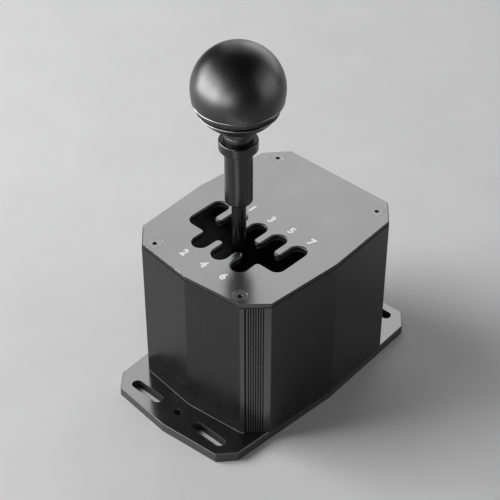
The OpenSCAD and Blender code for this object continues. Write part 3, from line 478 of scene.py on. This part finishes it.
def printed_figure(sign, x, y):
    """Lays one sign on the plate with its middle at (x, y)."""
    words = bpy.data.curves.new("outline", "FONT")
    words.body, words.size, words.extrude = sign, FIGURE_H / FONT_SHARE, FILM
    words.resolution_u, words.offset = CURVE_STEPS, STROKE
    shape = put_object("outline", words)
    bpy.context.view_layer.update()
    mesh = bpy.data.meshes.new_from_object(shape.evaluated_get(bpy.context.evaluated_depsgraph_get()))
    bpy.data.objects.remove(shape)
    bpy.data.curves.remove(words)
    points = read_rows(mesh.vertices, "co", 3)
    middle = (points.min(axis=0) + points.max(axis=0)) / 2
    points += np.array([x, y, plate_top]) - middle
    mesh.vertices.foreach_set("co", points.ravel())
    merge_points(mesh, drop_empty=False)
    mesh.name = "figure_" + sign
    piece = put_object("figure_" + sign, mesh)
    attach(piece, "frame")
    return piece


print("figures are", round(FIGURE_H / MM, 2), "mm high")

# %% All printed figures
LANE, FAR_ROW, NEAR_ROW = 15.0 * MM, 4.9 * MM, -49.7 * MM
figures = [(sign, lane, FAR_ROW) for sign, lane in zip("R1357", (-2, -1, 0, 1, 2))]
figures += [(sign, lane, NEAR_ROW) for sign, lane in zip("246", (-1, 0, 1))]
printed = [printed_figure(sign, AXIS_X + lane * LANE, row) for sign, lane, row in figures]
print(len(printed), "figures")

# %% [markdown]
# ## The gate's polished rim
# On the real plate the lanes' upper edge is rounded by hand, while the plate's outer edge only has a small
# chamfer. A Bevel modifier on the solid would round both, so a merged copy of the solid takes its place and
# carries a bevel weight on the lanes' rim alone. The Bevel hands its new faces to a second material slot.

# %% Gate plate, merged
WELD, FLAT_TURN = 1e-6, math.radians(0.4)

work = bmesh.new()
work.from_mesh(solids["gate_plate"].data)
bmesh.ops.remove_doubles(work, verts=work.verts, dist=WELD)
bmesh.ops.dissolve_limit(work, angle_limit=FLAT_TURN, verts=work.verts, edges=work.edges)
gate_mesh = bpy.data.meshes.new("gate_polished")
work.to_mesh(gate_mesh)
work.free()
gate = put_object("gate_polished", gate_mesh)
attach(gate, "frame")
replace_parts(gate, "gate_plate")
print("gate plate of", len(gate_mesh.polygons), "faces")

# %% Rounded rim
GATE_HALF_X, GATE_HALF_Y, ON_TOP = 37 * MM, 27 * MM, 0.01 * MM
RIM_R, RIM_STEPS, LOOKS_UP = 1.1 * MM, 8, 0.99


def rim_of_lanes(mesh):
    """Marks each edge that has both ends on the top near the lanes, and just one face that looks up."""
    apart = np.abs(read_rows(mesh.vertices, "co", 3) - (AXIS_X, AXIS_Y, plate_top))
    near = (apart < (GATE_HALF_X, GATE_HALF_Y, ON_TOP)).all(axis=1)
    looks_up = read_rows(mesh.polygons, "normal", 3)[:, 2] > LOOKS_UP
    corners = read_rows(mesh.polygons, "loop_total", 1, int)[:, 0]
    edges = read_rows(mesh.loops, "edge_index", 1, int)[:, 0]
    upper_faces = np.bincount(edges, np.repeat(looks_up, corners), len(mesh.edges))
    return near[read_rows(mesh.edges, "vertices", 2, int)].all(axis=1) & (upper_faces == 1)


on_rim = rim_of_lanes(gate_mesh)
weight = gate_mesh.attributes.new("bevel_weight_edge", "FLOAT", "EDGE")
weight.data.foreach_set("value", on_rim.astype(np.float32))
rim = gate.modifiers.new("round_rim", "BEVEL")
rim.limit_method, rim.width, rim.segments = "WEIGHT", RIM_R, RIM_STEPS
rim.use_clamp_overlap, rim.material = False, 1
keep_flats(gate)
print("rim of", on_rim.sum(), "edges rounded")

# %% [markdown]
# ## Lamps for the plates, the print and the lanes
# Satin metal mirrors what lies opposite it, so two wide lamps overhead shine on the plates alone and keep
# them grey from every side. A small lamp from above keeps the print white. Another looks into the lanes and
# lights what is below; it leaves out the plates, where it would show as a bright spot.

# %% Lamps for the plates, the print and the lanes
DOWN = (0, 0, -1)
plates = [gate, solids["base_plate"], solids["gate_screws"]]
below_lanes = [solid for solid in solids.values() if solid not in plates and not solid.hide_render]
link_lamp(softbox("plate_front", (0.9, -0.9, 1.1), 1.68, (2.8, 2.8), 0.6, facing=DOWN), plates)
link_lamp(softbox("plate_right", (1.4, 1.0, 1.1), 2.04, (1.8, 1.6), 0.6, facing=DOWN), plates)
link_lamp(softbox("print_lamp", (0.0, 0.0, 1.0), 0.60, (0.30, 0.30), 6.0), printed)
link_lamp(softbox("gate_lamp", (0.72, -0.26, 0.64), 0.80, (0.20, 0.20), 8.0), below_lanes)

# %% [markdown]
# ## Rounded edges on the solids
# No real edge is perfectly sharp: a rounded one catches a thin line of light. A Bevel modifier rounds the
# CAD solids without touching their meshes. The mesh comes as loose triangles, so Weld joins them first and a
# planar Decimate turns flat fans into single faces.

# %% Edge rounding
USUAL_EDGE = (0.12, 40, 2)
EDGES = {"base_plate": (0.25, 30, 2), "rear_shell": (0.06, 30, 1), "front_panel": (0.12, 30, 2),
         "gate_damper": (0.3, 30, 2), "lever_hub": (0.5, 40, 2), "yoke": (0.5, 40, 2),
         "pivot_bracket": (0.5, 40, 2), "detent_cam": (0.3, 40, 2), "gate_screws": (0.03, 40, 1)}


def round_edges(solid, width, limit, segments):
    """Welds the triangles, merges flat ones and rounds each edge that turns by more than the limit. The
    width is in millimetres and the limit in degrees."""
    weld = solid.modifiers.new("weld", "WELD")
    weld.merge_threshold = WELD
    flat = solid.modifiers.new("merge_flats", "DECIMATE")
    flat.decimate_type, flat.angle_limit = "DISSOLVE", FLAT_TURN
    edge = solid.modifiers.new("round_edges", "BEVEL")
    edge.width, edge.segments = width * MM, segments
    edge.limit_method, edge.angle_limit = "ANGLE", math.radians(limit)
    keep_flats(solid)


shown = [name for name, solid in solids.items() if not solid.hide_render]
for name in shown:
    round_edges(solids[name], *EDGES.get(name, USUAL_EDGE))
print("edges rounded on", len(shown), "solids")

# %% [markdown]
# ## Shared surface effects
# Grain, tool marks, edge wear with a painted edge highlight, painted groove shade and dust come back on many
# finishes, so each is a shader group that is built once. A group only puts out numbers that change over the
# surface; the shader itself stays in the material.

# %% Node helpers
def feed(tree, value, socket):
    """Links a node's output to a socket, or sets a plain value there."""
    if isinstance(value, bpy.types.NodeSocket):
        tree.links.new(value, socket)
    else:
        socket.default_value = value


def add(tree, kind, inputs=None, **settings):
    """Adds a shader node, sets its properties, and sets or links its inputs."""
    node = tree.nodes.new("ShaderNode" + kind)
    for key, value in settings.items():
        setattr(node, key, value)
    for key, value in (inputs or {}).items():
        feed(tree, value, node.inputs[key])
    return node


def new_group(name, inputs, outputs):
    """A shader group with number inputs (name and default) and number outputs."""
    group = bpy.data.node_groups.new(name, "ShaderNodeTree")
    for label, value in inputs.items():
        socket = group.interface.new_socket(label, in_out="INPUT", socket_type="NodeSocketFloat")
        socket.default_value = value
    for label in outputs:
        group.interface.new_socket(label, in_out="OUTPUT", socket_type="NodeSocketFloat")
    return group, group.nodes.new("NodeGroupInput").outputs, group.nodes.new("NodeGroupOutput").inputs


# %% Numbers and noise inside a group
def own_place(group):
    """Output of the Object coordinates, which are metres in the model's frame."""
    return add(group, "TexCoord").outputs["Object"]


def math_node(group, kind, a, b, clamp=False):
    """Output of a sum, product or comparison of two numbers."""
    return add(group, "Math", {0: a, 1: b}, operation=kind, use_clamp=clamp).outputs[0]


def times(group, a, b):
    """Output of a product, kept between 0 and 1."""
    return math_node(group, "MULTIPLY", a, b, clamp=True)


def dot(group, a, b):
    """Output of the dot product of two vectors."""
    return add(group, "VectorMath", {0: a, 1: b}, operation="DOT_PRODUCT").outputs["Value"]


def spread(group, value, low, high, to_low=0.0, to_high=1.0):
    """Output of a value stretched from one range to another."""
    return add(group, "MapRange", {"Value": value, "From Min": low, "From Max": high, "To Min": to_low,
                                   "To Max": to_high}).outputs[0]


def noise(group, place, scale, detail=2.0, rough=0.5):
    """Output of a noise texture."""
    settings = {"Vector": place, "Scale": scale, "Detail": detail, "Roughness": rough}
    return add(group, "TexNoise", settings).outputs[0]


def patches(group, place, scale):
    """Output of soft patches: a noise whose middle range is stretched from 0 to 1."""
    return spread(group, noise(group, place, scale, 3.0), 0.3, 0.7)


# %% [markdown]
# ## Patterns
# Blasted metal has a sandy grain, a turned part has fine lines round its axis, moulded plastic has soft
# pebbles, and a circuit board shows its tracks through the lacquer. Pictures of such surfaces could be
# wrapped round the pieces, but a noise in the model's own metres has no seams and the right scale all over.
# Each pattern puts out a fine height for the bump and wide patches for the tone.

# %% Blasted grain and turned lines
PATTERN_OUT = ("Height", "Patch")


def pattern_blasted():
    """Fine beads of a blasted surface, over patches fifty times as wide."""
    group, given, out = new_group("blasted_grain", {"Scale": 2600.0}, PATTERN_OUT)
    place = own_place(group)
    wide = math_node(group, "MULTIPLY", given["Scale"], 0.02)
    feed(group, noise(group, place, given["Scale"], 3.0, 0.6), out["Height"])
    feed(group, patches(group, place, wide), out["Patch"])
    return group


def pattern_turned(name, axis):
    """Lines round an axis: a noise of the distance along that axis alone."""
    group, given, out = new_group(name, {"Scale": 3000.0}, PATTERN_OUT)
    place = own_place(group)
    step = math_node(group, "MULTIPLY", dot(group, place, axis), given["Scale"])
    lines = add(group, "TexNoise", {"W": step, "Scale": 1.0, "Detail": 3.0}, noise_dimensions="1D")
    feed(group, lines.outputs[0], out["Height"])
    feed(group, patches(group, place, 160.0), out["Patch"])
    return group


blasted = pattern_blasted()
turned_x = pattern_turned("turned_about_x", (1, 0, 0))
turned_y = pattern_turned("turned_about_y", (0, 1, 0))
turned_z = pattern_turned("turned_about_z", (0, 0, 1))
print(len(bpy.data.node_groups), "shader groups")

# %% Moulded skin and board tracks
def pattern_moulded():
    """The soft pebbles of a moulded or lacquered skin, over faint flow patches."""
    group, given, out = new_group("moulded_skin", {"Scale": 1500.0}, PATTERN_OUT)
    place = own_place(group)
    cells = add(group, "TexVoronoi", {"Vector": place, "Scale": given["Scale"]}, feature="SMOOTH_F1")
    feed(group, cells.outputs[0], out["Height"])
    feed(group, patches(group, place, 70.0), out["Patch"])
    return group


def pattern_tracks():
    """Copper tracks under green lacquer: the borders of square cells."""
    group, given, out = new_group("board_tracks", {"Scale": 420.0}, PATTERN_OUT)
    settings = {"Vector": own_place(group), "Scale": given["Scale"], "Randomness": 0.6}
    cells = add(group, "TexVoronoi", settings, distance="MANHATTAN").outputs[0]
    track = spread(group, cells, 0.42, 0.5)
    feed(group, track, out["Height"])
    feed(group, track, out["Patch"])
    return group


moulded = pattern_moulded()
tracks = pattern_tracks()
print(len(bpy.data.node_groups), "shader groups")

# %% [markdown]
# ## Wear, dust, painted highlights and painted shade
# Edges lose their dye where hands and tools touch them, and the same mask paints a faint highlight along
# every edge. Dust lies on faces that look up, and narrow grooves get painted shade. A plate that was dyed
# and then ground is bright on its top alone; the same dark tone in countersinks and screw sockets is painted
# shade, and a thin pale band at the front panel's foot is a painted highlight. Such marks could be painted
# by hand, but masks find the places by themselves and follow every change of shape.

# %% Edge wear and dust
def effect_wear_and_highlight():
    """Where a rounded copy of the surface leans away from the surface, an edge is near; noise varies it. The
    mask stands for edge wear and also paints a highlight along the edge.
    """
    group, given, out = new_group("wear_and_edge_highlight", {"Radius": 0.0006, "Amount": 0.5}, ("Mask",))
    soft = add(group, "Bevel", {"Radius": given["Radius"]}, samples=4).outputs[0]
    lean = dot(group, soft, add(group, "NewGeometry").outputs["Normal"])
    # The noise never falls to zero, so every edge keeps an unbroken painted highlight.
    broken = spread(group, noise(group, own_place(group), 260.0, 4.0, 0.65), 0.3, 0.7, 0.35, 1.0)
    edge = times(group, spread(group, lean, 0.995, 0.9), broken)
    feed(group, times(group, edge, given["Amount"]), out["Mask"])
    return group


def effect_dust():
    """Specks of a fine noise on faces that look up, thicker in some patches than in others."""
    group, given, out = new_group("fallen_dust", {"Amount": 0.1}, ("Mask",))
    face = add(group, "NewGeometry").outputs["Normal"]
    up = spread(group, add(group, "SeparateXYZ", {0: face}).outputs["Z"], 0.5, 1.0)
    place = own_place(group)
    specks = spread(group, noise(group, place, 1900.0, 2.0, 0.7), 0.6, 0.75)
    cloud = spread(group, noise(group, place, 45.0, 3.0), 0.4, 0.7)
    feed(group, times(group, times(group, times(group, specks, cloud), up), given["Amount"]), out["Mask"])
    return group


wear_and_edge_highlight, fallen_dust = effect_wear_and_highlight(), effect_dust()
print(len(bpy.data.node_groups), "shader groups")

# %% Painted groove shade, inner walls and levels
LEVEL_FADE = 0.02 * MM


def effect_groove_shade():
    """Painted shade: one where near surfaces hide most of the sky, as at the bottom of a narrow groove."""
    group, given, out = new_group("painted_groove_shade", {"Reach": 0.002}, ("Mask",))
    sky = add(group, "AmbientOcclusion", {"Distance": given["Reach"]}, samples=8).outputs["AO"]
    feed(group, spread(group, sky, 0.72, 0.42), out["Mask"])
    return group


def effect_inside():
    """One on walls that look at the middle, where the normal points against the way out of the middle."""
    group, given, out = new_group("inner_wall", {"Lean": 0.35}, ("Mask",))
    level = add(group, "VectorMath", {0: own_place(group), 1: (1, 1, 0)}, operation="MULTIPLY").outputs[0]
    outward = add(group, "VectorMath", {0: level}, operation="NORMALIZE").outputs[0]
    lean = dot(group, outward, add(group, "NewGeometry").outputs["Normal"])
    back = math_node(group, "MULTIPLY", lean, -1.0)
    feed(group, math_node(group, "GREATER_THAN", back, given["Lean"]), out["Mask"])
    return group


def effect_below():
    """One below a level: the mask goes from 0 to 1 as the height falls from the level by a short fade."""
    group, given, out = new_group("below_level", {"Level": 0.0}, ("Mask",))
    height = add(group, "SeparateXYZ", {0: own_place(group)}).outputs["Z"]
    full = math_node(group, "SUBTRACT", given["Level"], LEVEL_FADE)
    feed(group, spread(group, height, given["Level"], full), out["Mask"])
    return group


painted_groove_shade, inner_wall, below_level = effect_groove_shade(), effect_inside(), effect_below()
print(len(bpy.data.node_groups), "shader groups")

# %% [markdown]
# ## Finishes
# A finish mixes two tones by its pattern's patches, lightens edges as wear and as a painted highlight,
# paints shade into narrow grooves, lets a little dust lie on top, and takes its bump from the pattern's fine
# height.
# The plates are blasted metal, the housing is dyed in the anodising bath, and the ball is a smooth lacquer:
# the same few inputs describe them all.

# %% Tones and masks
def grey(a, b):
    """Two neutral tones."""
    return (a, a, a * 1.01), (b, b, b * 1.01)


def mask(tree, group, **values):
    """Output of a mask group that is placed in a material with its own values."""
    return add(tree, "Group", values, node_tree=group).outputs["Mask"]


def mix_tone(tree, share, colour, tone):
    """Output of a colour that gives way to a tone where the share is one."""
    return add(tree, "Mix", {0: share, 6: colour, 7: (*tone, 1.0)}, data_type="RGBA").outputs[2]


# %% Finish builder
# The dyed tone is a plate's anodising, and also painted shade in countersinks and screw sockets.
DYE_AND_SHADE_TONE, DYE_AND_SHADE_ROUGH = (0.006, 0.006, 0.0062), 0.34
# The soot tone is painted shade in narrow grooves. The bare tone is the inner walls' bare metal and also a
# painted highlight at the front panel's foot.
GROOVE_SHADE_TONE, BARE_AND_HIGHLIGHT_TONE, DUST = (0.003, 0.003, 0.003), (0.25, 0.25, 0.25), (0.4, 0.39, 0.37)
MICRON = 1e-6


def finish(name, pattern, scale, tones, rough, metal=0.0, specular=0.5, relief=3.0, wear_and_highlight=0.0,
           wear_and_highlight_tone=(0.5, 0.5, 0.5), dust=0.0, hollow=False, painted_highlight_below=None, dye_and_shade_below=None, dye_and_shade_tone=DYE_AND_SHADE_TONE):
    """Builds a material. Tones and rough are pairs that the patches mix; relief is the bump's depth in
    thousandths of a millimetre. A hollow piece is bare on its inner walls, and its grooves get painted
    shade: a metal as dark as soot, which mirrors nothing. Below the height for the pale band a thin strip
    takes a painted highlight. Below the height for the dark tone a plate keeps its anodising, and
    countersinks and screw sockets take the same tone as painted shade."""
    material = bpy.data.materials.new(name)
    material.use_nodes = True
    tree = material.node_tree
    shader = tree.nodes["Principled BSDF"].inputs
    shader["Specular IOR Level"].default_value = specular
    surface = add(tree, "Group", {"Scale": scale}, node_tree=pattern).outputs
    colour = mix_tone(tree, surface["Patch"], (*tones[0], 1.0), tones[1])
    roughness = spread(tree, surface["Patch"], 0.0, 1.0, *rough)
    metallic = metal
    # Edge wear, lightened along every edge, which is partly a painted highlight.
    if wear_and_highlight:
        colour = mix_tone(tree, mask(tree, wear_and_edge_highlight, Amount=wear_and_highlight), colour, wear_and_highlight_tone)
    if dust:
        colour = mix_tone(tree, mask(tree, fallen_dust, Amount=dust), colour, DUST)
    # Painted shade: narrow grooves turn to a black metal that mirrors nothing; inner walls show bare metal.
    if hollow:
        groove_shade, inside = mask(tree, painted_groove_shade), mask(tree, inner_wall)
        colour = mix_tone(tree, inside, mix_tone(tree, groove_shade, colour, GROOVE_SHADE_TONE), BARE_AND_HIGHLIGHT_TONE)
        metallic = spread(tree, inside, 0.0, 1.0, groove_shade, 0.0)
    # Painted highlight: a thin pale band below the given height.
    if painted_highlight_below is not None:
        highlight_band = mask(tree, below_level, Level=painted_highlight_below)
        colour = mix_tone(tree, highlight_band, colour, BARE_AND_HIGHLIGHT_TONE)
        metallic = spread(tree, highlight_band, 0.0, 1.0, metallic, 0.0)
    # Below the given height a dark tone: a plate's anodising, and painted shade in countersinks and screw
    # sockets.
    if dye_and_shade_below is not None:
        dye_and_shade = mask(tree, below_level, Level=dye_and_shade_below)
        colour = mix_tone(tree, dye_and_shade, colour, dye_and_shade_tone)
        roughness = add(tree, "Mix", {0: dye_and_shade, 2: roughness, 3: DYE_AND_SHADE_ROUGH}).outputs[0]
        metallic = spread(tree, dye_and_shade, 0.0, 1.0, metallic, 0.0)
    bump = {"Strength": 1.0, "Distance": relief * MICRON, "Height": surface["Height"]}
    feed(tree, colour, shader["Base Color"])
    feed(tree, roughness, shader["Roughness"])
    feed(tree, metallic, shader["Metallic"])
    feed(tree, add(tree, "Bump", bump).outputs[0], shader["Normal"])
    return material


# %% [markdown]
# ## The finishes of this shifter
# The CAD record names a material slot for each solid, and every slot gets a finish here. Metals have a high
# tone and a metallic shader, dyed and moulded parts a very low tone, and the roughness says how blurred each
# one mirrors the lamps. Some pieces differ from their slot, as the plates do, which are bright on top alone.

# %% Metals
foot_top_z, screw_top_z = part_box("base_plate")[1].z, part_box("gate_screws")[1].z
DYED_METAL = dict(pattern=blasted, scale=3200, tones=grey(0.0016, 0.0026), rough=(0.24, 0.28), specular=0.42,
                  wear_and_highlight=0.15, wear_and_highlight_tone=(0.12, 0.12, 0.12), dust=0.01, hollow=True)
finishes = {
    "plate_metal": finish("satin_plate_metal", blasted, 2600, grey(0.43, 0.46), (0.20, 0.24), 1.0,
                          wear_and_highlight=0.2, wear_and_highlight_tone=(0.6, 0.6, 0.61), relief=0.6),
    "black_anodised": finish("black_anodised_metal", **DYED_METAL),
    "screw_steel": finish("screw_steel", turned_z, 3000, grey(0.42, 0.5), (0.28, 0.36), 1.0,
                          wear_and_highlight=0.4, wear_and_highlight_tone=(0.7, 0.7, 0.71), dust=0.05),
    "zinc_steel": finish("zinc_steel", blasted, 1800, ((0.5, 0.51, 0.54), (0.6, 0.6, 0.62)),
                         (0.32, 0.42), 1.0),
    "bright_steel": finish("bright_steel", turned_x, 2600, grey(0.6, 0.66), (0.16, 0.24), 1.0),
    "spring_steel": finish("spring_steel", turned_y, 1400, ((0.36, 0.36, 0.38), (0.44, 0.44, 0.46)),
                           (0.26, 0.34), 1.0),
    "black_steel": finish("blackened_steel", blasted, 2200, grey(0.03, 0.045), (0.36, 0.46), 0.6,
                          wear_and_highlight=0.4, wear_and_highlight_tone=(0.3, 0.3, 0.31)),
    "cast_alloy": finish("cast_alloy", blasted, 1500, grey(0.4, 0.5), (0.42, 0.52), 1.0, relief=12),
    "brass": finish("brass", turned_y, 2600, ((0.58, 0.42, 0.16), (0.66, 0.49, 0.2)), (0.22, 0.3), 1.0),
}
print(len(finishes), "metals")

# %% Rubber, plastics and lacquers
finishes.update({
    "black_rubber": finish("damping_rubber", moulded, 1100, grey(0.03, 0.04), (0.45, 0.55), relief=14,
                           dust=0.1),
    "black_plastic": finish("ball_lacquer", moulded, 1700, grey(0.0010, 0.0016), (0.33, 0.36),
                            specular=0.55, relief=1.0, dust=0.01),
    "ivory_plastic": finish("ivory_plastic", moulded, 1500, ((0.72, 0.69, 0.6), (0.78, 0.75, 0.66)),
                            (0.4, 0.5)),
    "board_green": finish("board_lacquer", tracks, 420, ((0.012, 0.1, 0.04), (0.03, 0.2, 0.08)),
                          (0.25, 0.32), relief=20),
})
print(len(finishes), "finishes for slots")

# %% Finishes of single pieces
lever_black = finish("lever_black_satin", turned_z, 2400, grey(0.002, 0.003), (0.18, 0.22), relief=1.0,
                     wear_and_highlight=0.08, wear_and_highlight_tone=(0.10, 0.10, 0.10), dust=0.01)
# The thin pale band at the front panel's foot is a painted highlight.
panel_black = finish("front_panel_black", **DYED_METAL, painted_highlight_below=foot_top_z + 0.15 * MM)
# The plates keep a dark anodising below their ground tops; in the countersinks that dark tone is painted
# shade.
gate_top = finish("gate_plate_top", blasted, 1600, grey(0.43, 0.46), (0.20, 0.24), 1.0, relief=0.6,
                  dye_and_shade_below=plate_top - 0.04 * MM)
gate_lip = finish("gate_plate_lip", blasted, 1600, grey(0.43, 0.46), (0.14, 0.18), 1.0, relief=0.4,
                  dye_and_shade_below=plate_top - 0.10 * MM)
foot_top = finish("base_plate_top", blasted, 1600, grey(0.43, 0.46), (0.16, 0.20), 1.0, relief=0.6,
                  dye_and_shade_below=foot_top_z - 0.03 * MM, dye_and_shade_tone=(0.02, 0.02, 0.0205))
# Below the heads' tops the screws take the dark tone, which is painted shade in their sockets.
socket_steel = finish("socket_screw_steel", turned_z, 3000, grey(0.42, 0.5), (0.24, 0.30), 1.0,
                      dye_and_shade_below=screw_top_z - 0.05 * MM)
dark_chrome = finish("dark_chrome", turned_z, 4000, grey(0.18, 0.22), (0.20, 0.26), 1.0, relief=0.5)
white_print = finish("white_print", moulded, 2200, grey(0.92, 0.95), (0.45, 0.55))
floor_paper = finish("floor_paper", blasted, 900, grey(0.74, 0.78), (0.75, 0.85), specular=0.2, relief=20)
print(len(bpy.data.materials), "materials")

# %% [markdown]
# ## Dressing
# Each solid carries the name of its material slot from the CAD record, so dressing is one look-up. Pieces
# that replace a solid take its finish, the lever's turned parts share a satin black, and the figures are
# white.

# %% Dress every solid and piece
OWN_FINISH = {"lever_rod": lever_black, "lever_sleeve": lever_black, "lock_collar": lever_black,
              "gate_plate": gate_top, "base_plate": foot_top, "front_panel": panel_black,
              "gate_screws": socket_steel}


def dress(piece, material):
    """Gives a piece one material."""
    piece.data.materials.clear()
    piece.data.materials.append(material)


for name, solid in solids.items():
    slot = solid.material_slots[0].material.name
    for piece in [solid] + [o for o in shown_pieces() if name in o.get("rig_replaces", [])]:
        dress(piece, OWN_FINISH.get(name, finishes[slot]))
gate.data.materials.append(gate_lip)
for piece in printed:
    dress(piece, white_print)
for piece in rings:
    dress(piece, dark_chrome)
dress(floor, floor_paper)
